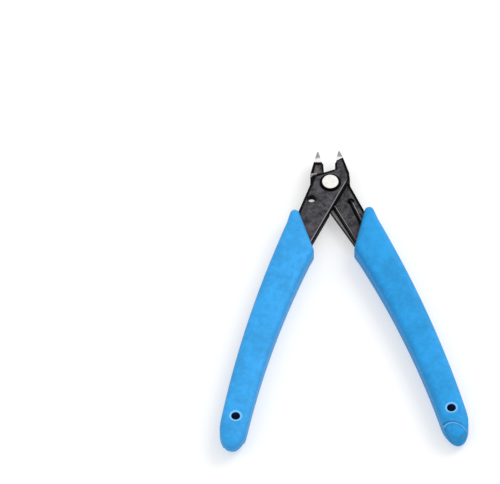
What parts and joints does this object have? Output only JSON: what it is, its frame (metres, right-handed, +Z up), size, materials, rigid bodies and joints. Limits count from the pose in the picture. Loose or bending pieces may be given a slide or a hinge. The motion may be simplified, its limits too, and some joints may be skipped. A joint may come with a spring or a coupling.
{
  "type": "flush cut pliers",
  "caption": "Small flush cut pliers: stacked stamped steel arms on a rivet, short ground jaws, a hairpin wire return spring and bowed plastic grips.",
  "frame": {"origin": "centre of the bounding box on the surface the pliers lie on, in the open rest pose", "axes": "+Z up from the flat underside of the grips, +Y from the handle ends to the jaws, +X to the right seen from above with the jaws away"},
  "size_m": [0.084, 0.1196, 0.0088],
  "materials": {
    "arm_steel": "black oxide on stamped steel, ground bright at the tips",
    "rivet_steel": "fine turned, bright",
    "spring_wire": "drawn spring wire, slightly darkened",
    "grip_plastic": "moulded, satin, fine texture"
  },
  "bodies": {
    "rear": {"rear_arm": "arm_steel", "rear_grip": "grip_plastic", "pivot_rivet": "rivet_steel", "rivet_collar": "rivet_steel", "return_spring": "spring_wire"},
    "front": {"front_arm": "arm_steel", "front_grip": "grip_plastic"}
  },
  "joints": [
    {"name": "pivot", "type": "hinge", "parent": "rear", "child": "front", "pos_m": [0, 0.04574, 0.0044], "axis": [0, 0, 1], "range_deg": [0, 26.5], "stiffness_Nm_per_rad": 0.6, "springref_deg": -17.19, "deforming": ["return_spring"]}
  ]
}
